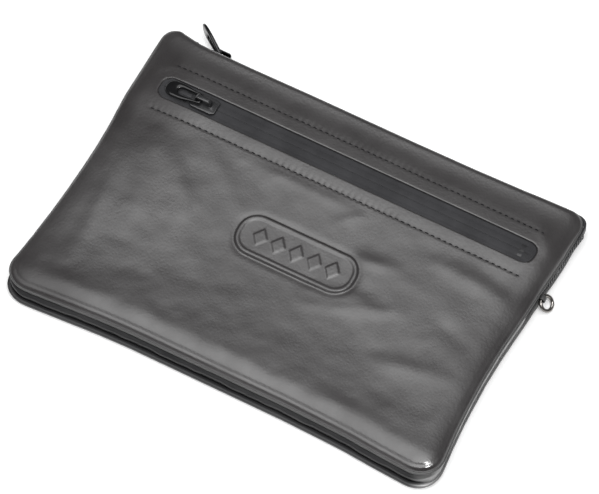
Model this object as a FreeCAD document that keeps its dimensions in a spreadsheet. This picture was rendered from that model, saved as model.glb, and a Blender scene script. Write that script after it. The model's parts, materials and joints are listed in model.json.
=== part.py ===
import FreeCAD, Part
import math
import os
import re
import Sketcher
from FreeCAD import Placement, Rotation, Vector

# A soft leather pouch with a zipped mouth along its top edge and a zipped pocket on its front.
# It lies on its back: +X runs to the right along the zippers, +Y towards the mouth and +Z out of
# the front. The origin is the middle of the face it rests on. All sizes are millimetres.

SIZES = {
    # Leather shell. The panel outline is the outer face of the leather; seam ridges stand proud.
    "pouch_width": 210.0,
    "pouch_depth": 148.0,
    "pouch_thickness": 17.8,
    "leather": 1.2,
    "ridge_proud": 0.6,
    "corner_low": 13.4,
    "corner_high": 7.0,
    "front_roll": 4.8,
    "back_roll": 1.1,
    "hem_thickness": 2.4,
    "hem_width": 8.0,
    "front_seam": 11.6,
    "ridge_height": 1.2,
    "gusset_recess": 1.2,
    "gusset_leather": 1.0,
    "mouth_half": 98.0,
    "mouth_floor": 50.0,
    # Linings
    "lining": 0.4,
    "partition_level": 8.0,
    "partition_top": 69.5,
    "pocket_top": 60.4,
    "pocket_front_top": 32.0,
    "partition_side": 97.6,
    # Window of the front pocket
    "window_middle": 1.3,
    "window_level": 46.0,
    "window_length": 186.0,
    "window_width": 11.0,
    "window_corner": 4.5,
    # Zippers, measured from the middle of the two coils and the outer face of the tape
    "mouth_middle": 7.0,
    "tape": 0.6,
    "tape_reach": 97.0,
    "tape_split": 0.75,
    "coil_width": 2.3,
    "coil_height": 1.6,
    "coil_end": 88.5,
    "coil_clear": 0.2,
    "stop_length": 2.4,
    "stop_gap": 0.6,
    # Sliders and pulls
    "slider_length": 13.0,
    "slider_half": 4.1,
    "slider_nose": 2.6,
    "slider_plate": 1.2,
    "slider_throat": 3.0,
    "slider_clear": 0.3,
    "flange_thickness": 0.9,
    "neck_thickness": 0.9,
    "bridge_width": 2.2,
    "bridge_bar": 1.0,
    "bridge_inside": 2.6,
    "bridge_back": -4.6,
    "bridge_front": 3.8,
    "pull_pivot": -1.8,
    "pull_length": 17.6,
    "pull_thickness": 1.6,
    "pull_half": 4.0,
    "pull_neck_half": 2.7,
    "pull_slot_half": 1.8,
    "pull_slot_end": 11.5,
    "front_slider": -69.5,
    "top_slider": -77.0,
    "front_pull_droop": 4.0,
    "top_pull_lift": 36.0,
    # Zipper tail on the right side wall, its end tab and the ring
    "tail_low": 4.7,
    "tail_high": 9.3,
    "tail_thickness": 1.2,
    "tail_start": 91.5,
    "tail_end": 38.7,
    "tail_fold": 2.2,
    "tooth_width": 1.5,
    "tooth_pitch": 3.0,
    "tooth_proud": 0.5,
    "ring_level": 34.3,
    "ring_pivot_out": 106.2,
    "ring_pivot_up": 5.6,
    "ring_radius": 3.3,
    "ring_wire": 0.9,
    "ring_lift": 0.1,
    "loop_leather": 0.6,
    "loop_bore": 1.35,
    "loop_width": 2.4,
    "tab_length": 8.0,
    # Stitches and the raised relief
    "stitch_length": 2.1,
    "stitch_pitch": 3.0,
    "stitch_width": 0.5,
    "stitch_height": 0.3,
    "stitch_offset": 12.2,
    "relief_right": 2.7,
    "relief_level": -2.0,
    "relief_length": 58.0,
    "relief_width": 20.0,
    "relief_height": 0.9,
    "relief_rim": 1.8,
    "relief_sink": 0.4,
    "stud_length": 7.0,
    "stud_width": 9.0,
    "stud_span": 36.0,
}
STITCHES_ALONG = 62
TAIL_TEETH = 9
RELIEF_STUDS = 5

doc = FreeCAD.newDocument("ZippedPouch")
sheet = doc.addObject("Spreadsheet::Sheet", "Sizes")
for row, (alias, size) in enumerate(SIZES.items(), start=1):
    sheet.set(f"A{row}", alias.replace("_", " "))
    sheet.set(f"B{row}", str(size))
    sheet.setAlias(f"B{row}", alias)
doc.recompute()

nodes = []


def formula(text):
    """The expression with every size's name pointing at the sheet."""
    return re.sub(r"[a-z_]{3,}", lambda m: f"Sizes.{m[0]}" if m[0] in SIZES else m[0], str(text))


def number(text):
    return float(sheet.evalExpression(formula(text)))


def bind(thing, prop, text):
    thing.setExpression(prop, formula(text))


# ---------------------------------------------------------------- sketches


def new_body(label):
    body = doc.addObject("PartDesign::Body", label)
    body.Label = label
    nodes.append(body)
    return body


def new_sketch(body, role="XY_Plane", level="0"):
    """A sketch on one of the body's own origin planes, moved along the plane's normal."""
    sketch = body.newObject("Sketcher::SketchObject", "Sketch")
    plane = next(item for item in body.Origin.OriginFeatures if item.Role == role)
    sketch.AttachmentSupport = [(plane, "")]
    sketch.MapMode = "FlatFace"
    bind(sketch, "AttachmentOffset.Base.z", level)
    return sketch


def pin_point(sketch, edge, end, axis, text):
    """Holds one coordinate of a point at a formula; a point on an axis lies on that axis."""
    value = number(text)
    kind = "DistanceX" if axis == "x" else "DistanceY"
    if abs(value) < 1e-9:
        origin_axis = -2 if axis == "x" else -1
        sketch.addConstraint(Sketcher.Constraint("PointOnObject", edge, end, origin_axis))
        return
    ends = (-1, 1, edge, end) if value > 0 else (edge, end, -1, 1)
    index = sketch.addConstraint(Sketcher.Constraint(kind, *ends, abs(value)))
    bind(sketch, f"Constraints[{index}]", text if value > 0 else f"-({text})")


def polygon(sketch, points):
    """Closed outline through corners whose coordinates are formulas."""
    first = sketch.GeometryCount
    spots = [Vector(number(x), number(y), 0) for x, y in points]
    count = len(spots)
    for i, spot in enumerate(spots):
        sketch.addGeometry(Part.LineSegment(spot, spots[(i + 1) % count]), False)
    for i in range(count):
        after = first + (i + 1) % count
        sketch.addConstraint(Sketcher.Constraint("Coincident", first + i, 2, after, 1))
    for i, (x, y) in enumerate(points):
        pin_point(sketch, first + i, 1, "x", x)
        pin_point(sketch, first + i, 1, "y", y)


def rectangle(sketch, left, right, low, high):
    polygon(sketch, [(left, low), (right, low), (right, high), (left, high)])


def rounded_rectangle(sketch, left, right, low, high, low_radius, high_radius):
    """Four sides and four tangent corner arcs, one radius for the low pair, one for the high."""
    x0, x1, y0, y1 = (number(side) for side in (left, right, low, high))
    a, b = number(low_radius), number(high_radius)
    corners = (  # arc centre, radius and starting angle, anticlockwise from low right
        (x1 - a, y0 + a, a, -90),
        (x1 - b, y1 - b, b, 0),
        (x0 + b, y1 - b, b, 90),
        (x0 + a, y0 + a, a, 180),
    )
    arcs = [
        Part.ArcOfCircle(
            Part.Circle(Vector(cx, cy, 0), Vector(0, 0, 1), r),
            math.radians(start),
            math.radians(start + 90),
        )
        for cx, cy, r, start in corners
    ]
    first = sketch.GeometryCount
    for i, arc in enumerate(arcs):
        sketch.addGeometry(Part.LineSegment(arcs[i - 1].EndPoint, arc.StartPoint), False)
        sketch.addGeometry(arc, False)
    for i in range(8):
        after = first + (i + 1) % 8
        sketch.addConstraint(Sketcher.Constraint("Tangent", first + i, 2, after, 1))
    for line, axis, side in ((0, "y", low), (2, "x", right), (4, "y", high), (6, "x", left)):
        level = "Horizontal" if axis == "y" else "Vertical"
        sketch.addConstraint(Sketcher.Constraint(level, first + line))
        pin_point(sketch, first + line, 1, axis, side)
    for arc, twin, radius in ((1, 7, low_radius), (3, 5, high_radius)):
        index = sketch.addConstraint(Sketcher.Constraint("Radius", first + arc, number(radius)))
        bind(sketch, f"Constraints[{index}]", radius)
        sketch.addConstraint(Sketcher.Constraint("Equal", first + arc, first + twin))


def outline(sketch, inset):
    """The pouch's outline seen from the front, moved in from the panels' outer face."""
    rounded_rectangle(
        sketch,
        f"-(pouch_width / 2 - ridge_proud - ({inset}))",
        f"pouch_width / 2 - ridge_proud - ({inset})",
        f"-(pouch_depth / 2 - ridge_proud - ({inset}))",
        f"pouch_depth / 2 - ({inset})",
        f"corner_low - ({inset})",
        f"max(corner_high - ({inset}); 1)",
    )


# ---------------------------------------------------------------- features


def pad(body, sketch, length, symmetric=False, downward=False):
    feature = body.newObject("PartDesign::Pad", "Pad")
    feature.Profile = sketch
    bind(feature, "Length", length)
    feature.SideType = "Symmetric" if symmetric else "One side"
    feature.Reversed = downward
    doc.recompute()
    return feature


def pocket(body, sketch, length, upward=False, symmetric=False):
    before = body.Shape.Volume
    feature = body.newObject("PartDesign::Pocket", "Pocket")
    feature.Profile = sketch
    bind(feature, "Length", length)
    feature.SideType = "Symmetric" if symmetric else "One side"
    feature.Reversed = upward
    doc.recompute()
    if body.Shape.Volume >= before:
        raise RuntimeError(f"{body.Label}: a pocket removes nothing")
    return feature


def round_edges(body, radius, chosen):
    """Fillets every edge of the body so far that the test picks."""
    base = body.Tip
    names = [f"Edge{i}" for i, edge in enumerate(base.Shape.Edges, start=1) if chosen(edge)]
    if not names:
        raise RuntimeError(f"{body.Label}: no edge to round")
    feature = body.newObject("PartDesign::Fillet", "Fillet")
    feature.Base = (base, names)
    bind(feature, "Radius", radius)
    doc.recompute()
    return feature


def repeat(body, originals, sketch, axis, reach, count):
    """Copies features along a sketch axis, evenly over the whole reach."""
    feature = body.newObject("PartDesign::LinearPattern", "LinearPattern")
    feature.Originals = originals
    feature.Direction = (sketch, [axis])
    feature.Mode = "Extent"
    bind(feature, "Length", reach)
    feature.Occurrences = count
    body.Tip = feature
    doc.recompute()
    return feature


def at_level(level, tolerance=1e-3):
    """A test for edges that lie flat at one height."""
    height = number(level)

    def test(edge):
        box = edge.BoundBox
        return abs(box.ZMin - height) < tolerance and abs(box.ZMax - height) < tolerance

    return test


def upright(edge):
    box = edge.BoundBox
    return box.XLength < 1e-6 and box.YLength < 1e-6


# ---------------------------------------------------------------- leather shell


def make_back_panel():
    """Flat leather sheet whose edge is turned in, so the rim is two layers thick."""
    body = new_body("back_panel")
    rim = new_sketch(body)
    outline(rim, "0")
    pad(body, rim, "hem_thickness")
    round_edges(body, "back_roll", at_level("0"))
    field = new_sketch(body, level="hem_thickness")
    outline(field, "hem_width")
    pocket(body, field, "hem_thickness - leather")


def make_front_panel():
    """Shallow leather tray, open downwards, with a rolled rim and a window for the zipper."""
    body = new_body("front_panel")
    outside = new_sketch(body, level="front_seam")
    outline(outside, "0")
    pad(body, outside, "pouch_thickness - front_seam")
    inside = new_sketch(body, level="front_seam")
    outline(inside, "leather")
    pocket(body, inside, "pouch_thickness - front_seam - leather", upward=True)
    round_edges(body, "front_roll - leather", at_level("pouch_thickness - leather"))
    round_edges(body, "front_roll", at_level("pouch_thickness"))
    window = new_sketch(body, level="pouch_thickness")
    rounded_rectangle(
        window,
        "window_middle - window_length / 2",
        "window_middle + window_length / 2",
        "window_level - window_width / 2",
        "window_level + window_width / 2",
        "window_corner",
        "window_corner",
    )
    pocket(body, window, "leather * 2")


def make_wall_band(label, floor, height, outer_inset, inner_inset):
    """A band round the side and bottom walls, open where the mouth's zipper lies."""
    body = new_body(label)
    outside = new_sketch(body, level=floor)
    outline(outside, outer_inset)
    pad(body, outside, height)
    inside = new_sketch(body, level=f"{floor} + {height}")
    outline(inside, inner_inset)
    pocket(body, inside, height)
    mouth = new_sketch(body, level=f"{floor} + {height}")
    rectangle(mouth, "-mouth_half", "mouth_half", "mouth_floor", "pouch_depth / 2 + leather")
    pocket(body, mouth, height)
    return body


def make_gusset():
    """The wall between the two panels, set back from the seams, with a ridge above and below."""
    wall = "gusset_recess + gusset_leather"
    floor = "hem_thickness + ridge_height"
    height = "front_seam - hem_thickness - 2 * ridge_height"
    make_wall_band("gusset_band", floor, height, "gusset_recess", wall)
    ridge = make_wall_band("back_seam_ridge", "hem_thickness", "ridge_height", "-ridge_proud", wall)
    proud = number("pouch_width / 2")
    round_edges(ridge, "ridge_height * 0.4", lambda edge: edge.BoundBox.XMax > proud - 1e-3)
    floor = "front_seam - ridge_height"
    ridge = make_wall_band("front_seam_ridge", floor, "ridge_height", "-ridge_proud", wall)
    round_edges(ridge, "ridge_height * 0.4", lambda edge: edge.BoundBox.XMax > proud - 1e-3)


# ---------------------------------------------------------------- linings


def make_lining_sheet(label, inset, floor, top):
    """A cloth sheet of the pouch's outline, cut off square below the mouth."""
    body = new_body(label)
    sheet_outline = new_sketch(body, level=floor)
    outline(sheet_outline, inset)
    pad(body, sheet_outline, "lining")
    cut = new_sketch(body, level=f"{floor} + lining")
    rectangle(cut, "-pouch_width", "pouch_width", top, "pouch_depth")
    pocket(body, cut, "lining")
    return body


def add_riser(body, top, floor, height):
    """The stretch of a lining that stands up to the seam above it."""
    riser = new_sketch(body, level=floor)
    rectangle(riser, "-partition_side", "partition_side", f"{top} - lining", top)
    pad(body, riser, height)


def make_linings():
    wall = "gusset_recess + gusset_leather"
    back_top = "pouch_depth / 2 - hem_width - coil_clear"
    make_lining_sheet("main_lining_back", "hem_width + coil_clear", "leather", back_top + " - lining")
    front = make_lining_sheet("main_lining_front", wall, "partition_level", "partition_top")
    under_leather = "pouch_thickness - leather"
    add_riser(front, "partition_top", "partition_level", "front_seam + leather - partition_level")
    floor = "partition_level + lining"
    back = make_lining_sheet("pocket_lining_back", wall, floor, "pocket_top")
    add_riser(back, "pocket_top", floor, f"{under_leather} - ({floor})")
    floor = f"{under_leather} - lining"
    make_lining_sheet("pocket_lining_front", "front_roll * 2.5", floor, "pocket_front_top")


# ---------------------------------------------------------------- zippers


def zip_frame(kind):
    """Where a zipper lies: along X, its own Z pointing out of the pouch."""
    if kind == "front":
        face = number("pouch_thickness - leather")
        return Placement(Vector(0, number("window_level"), face), Rotation())
    out_of_mouth = Rotation(Vector(1, 0, 0), -90)
    face = number("pouch_depth / 2 - leather")
    return Placement(Vector(0, face, number("mouth_middle")), out_of_mouth)


def place_in_zip(thing, kind):
    thing.Placement = zip_frame(kind).multiply(thing.Placement)
    return thing


def make_strip(label, kind, left, right, low, high, floor, height):
    """A straight tape or coil, drawn in its zipper's own frame."""
    body = new_body(label)
    plan = new_sketch(body, level=floor)
    rectangle(plan, left, right, low, high)
    pad(body, plan, height)
    place_in_zip(body, kind)


def make_stops(kind, slider, coil_floor):
    """Two crimped stops behind the closed slider and one wide stop at the far end."""
    grip = "tape_split + coil_width + coil_clear"
    tall = "coil_height + tape + 2 * coil_clear"
    floor = f"min({coil_floor}; -tape) - coil_clear"
    right = f"{slider} - slider_length / 2 - stop_gap"
    pair = new_body(f"{kind}_zip_top_stops")
    plan = new_sketch(pair, level=floor)
    for low, high in (("tape_split / 2", grip), (f"-({grip})", "-tape_split / 2")):
        rectangle(plan, f"{right} - stop_length", right, low, high)
    pad(pair, plan, tall)
    split = new_sketch(pair, level="0")
    for low, high in (("tape_split", f"{grip} + tape"), (f"-({grip}) - tape", "-tape_split")):
        rectangle(split, f"{right} - 2 * stop_length", f"{right} + stop_length", low, high)
    pocket(pair, split, "tape")
    place_in_zip(pair, kind)

    end = new_body(f"{kind}_zip_bottom_stop")
    plan = new_sketch(end, level=floor)
    rectangle(plan, "coil_end", "coil_end + stop_length", f"-({grip})", grip)
    pad(end, plan, tall)
    split = new_sketch(end, level="0")
    for low, high in (("tape_split", f"{grip} + tape"), (f"-({grip}) - tape", "-tape_split")):
        rectangle(split, "coil_end - stop_length", "coil_end + 2 * stop_length", low, high)
    pocket(end, split, "tape")
    place_in_zip(end, kind)


def across(sign, far):
    """The two sides of a strip that runs from the split outwards, on either side of a zipper."""
    return ("tape_split", far) if sign > 0 else (f"-({far})", "-tape_split")


def make_zip(kind, sides, slider, coil_floor):
    """Tapes, coils and stops. Each side is its name, its sign across the zipper and its width."""
    coil_start = f"{slider} - slider_length / 2 - stop_gap + coil_clear"
    for side, sign, width in sides:
        tape = (*across(sign, width), "-tape", "tape")
        make_strip(f"{kind}_zip_tape_{side}", kind, "-tape_reach", "tape_reach", *tape)
        coil = (*across(sign, "tape_split + coil_width"), coil_floor, "coil_height")
        make_strip(f"{kind}_zip_coil_{side}", kind, coil_start, "coil_end", *coil)
    make_stops(kind, slider, coil_floor)


def slider_floor(kind):
    """Height of the outer plate above the tape: over the coil, or close to the bare tape."""
    return "coil_height + slider_clear" if kind == "top" else "slider_clear"


def make_slider(kind, along):
    """Two plates joined by a neck, flanges round the coils and a bridge for the pull."""
    body = new_body(f"{kind}_slider_body")
    floor = slider_floor(kind)
    inner = f"{floor} - slider_throat"
    plan = [
        ("-slider_length / 2", "-slider_nose"),
        ("-slider_length / 2 + flange_thickness * 1.5", "-slider_half"),
        ("slider_length / 2 - flange_thickness * 2", "-slider_half"),
        ("slider_length / 2", "-slider_nose - pull_thickness / 4"),
    ]
    plan += [(x, f"-({y})") for x, y in reversed(plan)]
    outer_plate = new_sketch(body, level=floor)
    polygon(outer_plate, plan)
    pad(body, outer_plate, "slider_plate")
    top = f"{floor} + slider_plate"
    round_edges(body, "slider_plate / 3", at_level(top))

    inner_plate = new_sketch(body, level=f"{inner} - slider_plate")
    polygon(inner_plate, plan)
    pad(body, inner_plate, "slider_plate")

    neck = new_sketch(body, level=f"{inner} - slider_plate / 2")
    rectangle(
        neck,
        "-slider_length / 2 + flange_thickness",
        "-slider_length / 2 + flange_thickness * 5",
        "-neck_thickness / 2",
        "neck_thickness / 2",
    )
    pad(body, neck, "slider_throat + slider_plate")

    # The flanges hang from the plate on the coils' side and stop short of the tape.
    on_outer = kind == "top"
    start = "slider_clear" if on_outer else f"{inner} - slider_plate / 2"
    reach = "coil_height + slider_plate / 2" if on_outer else f"-tape - slider_clear - ({start})"
    flanges = new_sketch(body, level=start)
    for low, high in (
        ("slider_half - flange_thickness", "slider_half"),
        ("-slider_half", "-slider_half + flange_thickness"),
    ):
        left = "-slider_length / 2 + flange_thickness * 1.5"
        rectangle(flanges, left, "slider_length / 2 - flange_thickness * 2", low, high)
    pad(body, flanges, reach)

    bridge = new_sketch(body, role="XZ_Plane")
    foot = f"{top} - slider_plate / 4"
    head = f"{top} + bridge_inside"
    polygon(
        bridge,
        [
            ("bridge_back", foot),
            ("bridge_back + bridge_bar", foot),
            ("bridge_back + bridge_bar", head),
            ("bridge_front - bridge_bar", head),
            ("bridge_front - bridge_bar", foot),
            ("bridge_front", foot),
            ("bridge_front - bridge_bar * 0.4", f"{head} + bridge_bar * 0.2"),
            ("bridge_front - bridge_bar * 1.4", f"{head} + bridge_bar"),
            ("bridge_back + bridge_bar * 1.4", f"{head} + bridge_bar"),
            ("bridge_back + bridge_bar * 0.4", f"{head} + bridge_bar * 0.2"),
        ],
    )
    pad(body, bridge, "bridge_width", symmetric=True)
    body.Placement = Placement(Vector(number(along), 0, 0), Rotation())
    place_in_zip(body, kind)


def make_pull(kind, along, swing):
    """A long flat frame whose round end bar lies under the slider's bridge, on the hinge axis."""
    body = new_body(f"{kind}_slider_pull")
    half = "pull_thickness / 2"
    outside = new_sketch(body, level=f"-{half}")
    side = [
        ("0", "pull_neck_half"),
        (f"-{half} * 2", "pull_neck_half"),
        ("-pull_length * 0.5", "pull_half"),
        ("-pull_length * 0.85", "pull_half"),
        ("-pull_length", "pull_half * 0.45"),
    ]
    polygon(outside, side + [(x, f"-({y})") for x, y in reversed(side)])
    pad(body, outside, "pull_thickness")
    slot = new_sketch(body, level=half)
    rounded_rectangle(
        slot,
        "-pull_slot_end",
        "pull_slot_half",
        "-pull_slot_half",
        "pull_slot_half",
        "pull_slot_half * 0.6",
        "pull_slot_half * 0.6",
    )
    pocket(body, slot, "pull_thickness")
    far = number("-pull_length * 0.8")
    round_edges(body, "pull_half * 0.4", lambda edge: upright(edge) and edge.BoundBox.XMax < far)
    on_top, on_bottom = at_level(half), at_level(f"-{half}")
    round_edges(body, "pull_thickness / 4", lambda edge: on_top(edge) or on_bottom(edge))
    bar = new_sketch(body, role="XZ_Plane")
    circle(bar, "0", "0", half)
    pad(body, bar, "pull_neck_half * 2", symmetric=True)
    axle = number(f"{slider_floor(kind)} + slider_plate + bridge_inside / 2")
    spot = Vector(number(along) + number("pull_pivot"), 0, axle)
    body.Placement = Placement(spot, Rotation(Vector(0, 1, 0), number(swing)))
    place_in_zip(body, kind)


def make_zippers():
    """The pocket's coils face inwards; the mouth's coils face outwards."""
    pocket_sides = (
        ("upper", 1, "pocket_top - lining - window_level"),
        ("lower", -1, "window_level - pocket_front_top"),
    )
    make_zip("front", pocket_sides, "front_slider", "-tape - coil_height")
    mouth_sides = (
        ("front", -1, "front_seam + leather - mouth_middle"),
        ("back", 1, "mouth_middle - hem_thickness"),
    )
    make_zip("top", mouth_sides, "top_slider", "0")
    make_slider("front", "front_slider")
    make_pull("front", "front_slider", "-front_pull_droop")
    make_slider("top", "top_slider")
    make_pull("top", "top_slider", "top_pull_lift")


# ---------------------------------------------------------------- tail, tab and ring


def make_zip_tail():
    """The end of the mouth's tape, folded at the corner and laid down the right side wall."""
    body = new_body("zip_tail_tape")
    height = "tail_high - tail_low"
    outside = new_sketch(body, level="tail_low")
    outline(outside, "gusset_recess - tail_thickness")
    pad(body, outside, height)
    inside = new_sketch(body, level="tail_high")
    outline(inside, "gusset_recess")
    pocket(body, inside, height)
    rest = new_sketch(body, level="tail_high")
    polygon(
        rest,
        [
            ("-pouch_width", "-pouch_depth"),
            ("pouch_width", "-pouch_depth"),
            ("pouch_width", "tail_end"),
            ("tail_start", "tail_end"),
            ("tail_start", "pouch_depth"),
            ("-pouch_width", "pouch_depth"),
        ],
    )
    pocket(body, rest, height)
    fold = new_sketch(body, level="tail_low")
    face = "pouch_depth / 2 - gusset_recess"
    high = f"{face} + tail_thickness + tail_fold"
    polygon(
        fold,
        [
            ("tail_start", face),
            ("mouth_half", face),
            ("mouth_half + tail_fold", f"{face} + tail_thickness / 2"),
            ("mouth_half + tail_fold", f"{high} - tail_fold / 2"),
            ("mouth_half", high),
            ("tail_start + tail_fold", high),
            ("tail_start", f"{high} - tail_fold / 2"),
        ],
    )
    pad(body, fold, height)

    teeth = new_body("zip_tail_teeth")
    row = new_sketch(teeth, level="mouth_middle - coil_width / 2")
    wall = "pouch_width / 2 - ridge_proud - gusset_recess + tail_thickness"
    start = "pouch_depth / 2 - corner_high - tooth_width"
    rectangle(row, wall, f"{wall} + tooth_proud", f"{start} - tooth_width", start)
    tooth = pad(teeth, row, "coil_width")
    teeth_span = f"tooth_pitch * {TAIL_TEETH - 1}"
    repeat(teeth, [tooth], row, "V_Axis", teeth_span, TAIL_TEETH).Reversed = True


def make_end_tab():
    """A leather piece over the tail's end, with a sewn loop that carries the ring."""
    body = new_body("tail_end_tab")
    wall = "pouch_width / 2 - ridge_proud - gusset_recess"
    plate = new_sketch(body, level="tail_low - lining")
    rectangle(plate, wall, f"{wall} + leather", "tail_end - tab_length - lining", "tail_end - lining")
    pad(body, plate, "tail_high - tail_low + 2 * lining")
    loop = new_sketch(body, role="XZ_Plane", level="-ring_level")
    circle(loop, "ring_pivot_out", "ring_pivot_up", "loop_bore + loop_leather")
    pad(body, loop, "loop_width", symmetric=True)
    bore = new_sketch(body, role="XZ_Plane", level="-ring_level")
    circle(bore, "ring_pivot_out", "ring_pivot_up", "loop_bore")
    pocket(body, bore, "loop_width * 4", symmetric=True)


def circle(sketch, x, y, radius):
    shape = Part.Circle(Vector(number(x), number(y), 0), Vector(0, 0, 1), number(radius))
    edge = sketch.addGeometry(shape, False)
    pin_point(sketch, edge, 3, "x", x)
    pin_point(sketch, edge, 3, "y", y)
    index = sketch.addConstraint(Sketcher.Constraint("Radius", edge, number(radius)))
    bind(sketch, f"Constraints[{index}]", radius)


def ring_tilt():
    """Degrees below the horizontal at which the ring's far side meets the table."""
    drop = number("ring_pivot_up - ring_wire - ring_lift")
    return math.degrees(math.asin(drop / number("2 * ring_radius")))


def make_ring():
    ring = doc.addObject("Part::Torus", "side_ring")
    ring.Label = "side_ring"
    bind(ring, "Radius1", "ring_radius")
    bind(ring, "Radius2", "ring_wire")
    tilt = ring_tilt()
    reach = number("ring_radius")
    centre = Vector(
        number("ring_pivot_out") + reach * math.cos(math.radians(tilt)),
        number("ring_level"),
        number("ring_pivot_up") - reach * math.sin(math.radians(tilt)),
    )
    ring.Placement = Placement(centre, Rotation(Vector(0, 1, 0), tilt))
    nodes.append(ring)


# ---------------------------------------------------------------- stitches and relief


def make_window_stitches():
    """Thread either side of the window, holding the pocket zipper's tapes."""
    body = new_body("window_stitching")
    row = new_sketch(body, level="pouch_thickness")
    left = f"window_middle - stitch_pitch * {(STITCHES_ALONG - 1) / 2}"
    for sign in ("+", "-"):
        middle = f"window_level {sign} stitch_offset"
        low, high = f"{middle} - stitch_width / 2", f"{middle} + stitch_width / 2"
        rectangle(row, left, f"{left} + stitch_length", low, high)
    stitch = pad(body, row, "stitch_height")
    repeat(body, [stitch], row, "H_Axis", f"stitch_pitch * {STITCHES_ALONG - 1}", STITCHES_ALONG)


def make_edge_stitches():
    """Thread along the mouth, through each panel's rim and the mouth's tapes."""
    body = new_body("top_edge_stitching")
    left = f"window_middle - stitch_pitch * {(STITCHES_ALONG - 1) / 2}"
    stitches = []
    for level in ("front_seam + leather / 2", "hem_thickness - leather / 2"):
        row = new_sketch(body, level=level)
        face = "pouch_depth / 2"
        rectangle(row, left, f"{left} + stitch_length", face, f"{face} + stitch_height")
        stitches.append(pad(body, row, "stitch_width"))
    repeat(body, stitches, row, "H_Axis", f"stitch_pitch * {STITCHES_ALONG - 1}", STITCHES_ALONG)


def relief_oval(sketch, inset):
    """The cartouche's outline, moved in."""
    radius = f"relief_width * 0.45 - {inset}"
    rounded_rectangle(
        sketch,
        f"relief_right - (relief_length / 2 - {inset})",
        f"relief_right + relief_length / 2 - {inset}",
        f"relief_level - (relief_width / 2 - {inset})",
        f"relief_level + relief_width / 2 - {inset}",
        radius,
        radius,
    )


def make_relief():
    """A plain oval cartouche pressed up from the front panel, with a row of lozenges in it."""
    body = new_body("front_relief")
    base = new_sketch(body, level="pouch_thickness")
    relief_oval(base, "0")
    pad(body, base, "relief_height")
    field = new_sketch(body, level="pouch_thickness + relief_height")
    relief_oval(field, "relief_rim")
    pocket(body, field, "relief_sink")
    stud = new_sketch(body, level="pouch_thickness")
    middle = "relief_right - stud_span / 2"
    polygon(
        stud,
        [
            (f"{middle} - stud_length / 2", "relief_level"),
            (middle, "relief_level - stud_width / 2"),
            (f"{middle} + stud_length / 2", "relief_level"),
            (middle, "relief_level + stud_width / 2"),
        ],
    )
    lozenge = pad(body, stud, "relief_height")
    repeat(body, [lozenge], stud, "H_Axis", "stud_span", RELIEF_STUDS)


# ---------------------------------------------------------------- build and write


def check_document():
    """Stops on any failed object and on any node whose shape is missing or broken."""
    doc.recompute()
    for thing in doc.Objects:
        if "Invalid" in thing.State or "Error" in thing.State:
            raise RuntimeError(f"{thing.Label} failed: {thing.State}")
    for node in nodes:
        if node.Shape.isNull() or not node.Shape.isValid() or not node.Shape.Solids:
            raise RuntimeError(f"{node.Label} has no valid solid")


make_back_panel()
make_front_panel()
make_gusset()
make_linings()
make_zippers()
make_zip_tail()
make_end_tab()
make_ring()
make_window_stitches()
make_edge_stitches()
make_relief()
check_document()

os.makedirs("parts", exist_ok=True)
for node in nodes:
    node.Shape.exportStep(f"parts/{node.Label}.step")
    print(f"{node.Label}: {len(node.Shape.Solids)} solids, {node.Shape.Volume:.1f} cubic millimetres")
print(f"the ring leans {ring_tilt():.3f} degrees below the horizontal")
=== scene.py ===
import json
import math

import bmesh
import bpy
import numpy as np
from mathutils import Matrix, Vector


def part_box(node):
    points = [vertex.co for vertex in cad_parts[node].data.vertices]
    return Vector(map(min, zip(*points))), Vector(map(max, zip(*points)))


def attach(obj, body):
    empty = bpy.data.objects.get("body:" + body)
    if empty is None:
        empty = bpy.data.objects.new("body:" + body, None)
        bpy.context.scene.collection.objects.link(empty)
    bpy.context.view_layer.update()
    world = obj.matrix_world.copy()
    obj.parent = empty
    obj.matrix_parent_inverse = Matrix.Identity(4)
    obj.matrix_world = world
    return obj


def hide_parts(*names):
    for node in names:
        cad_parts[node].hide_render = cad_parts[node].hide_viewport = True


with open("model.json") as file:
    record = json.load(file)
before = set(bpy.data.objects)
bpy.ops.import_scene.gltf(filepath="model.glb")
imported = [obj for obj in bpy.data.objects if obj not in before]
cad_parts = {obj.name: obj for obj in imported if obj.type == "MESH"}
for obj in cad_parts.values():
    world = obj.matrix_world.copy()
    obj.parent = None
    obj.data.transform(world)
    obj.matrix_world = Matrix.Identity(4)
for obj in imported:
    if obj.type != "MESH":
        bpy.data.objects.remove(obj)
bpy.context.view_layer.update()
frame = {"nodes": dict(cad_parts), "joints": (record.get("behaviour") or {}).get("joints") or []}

# A soft black leather pouch on its back. Shapes are worked out in millimetres and written in metres.
MM = 0.001


def mm_box(node):
    """A CAD node's lowest and highest corner, in millimetres."""
    low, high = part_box(node)
    return np.array(low) / MM, np.array(high) / MM


# ---- places read from the CAD nodes

panel_low, panel_high = mm_box("front_panel")
HALF = panel_high[0]  # half the width of the panels' outline
NEAR, FAR = panel_low[1], panel_high[1]  # the foot and the mouth
SEAM = panel_low[2]  # lower edge of the front panel
CORNER_LOW, CORNER_HIGH = 13.4, 7.0  # the outline's radii at the foot and at the mouth
LEATHER = 1.2
HEM = mm_box("back_panel")[1][2]
RIDGE = mm_box("back_seam_ridge")[1][2] - HEM
PROUD = mm_box("back_seam_ridge")[1][0] - HALF
MOUTH_HALF, MOUTH_MIDDLE = 98.0, 7.0  # half the mouth's length, and the height of its zipper's middle

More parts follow.
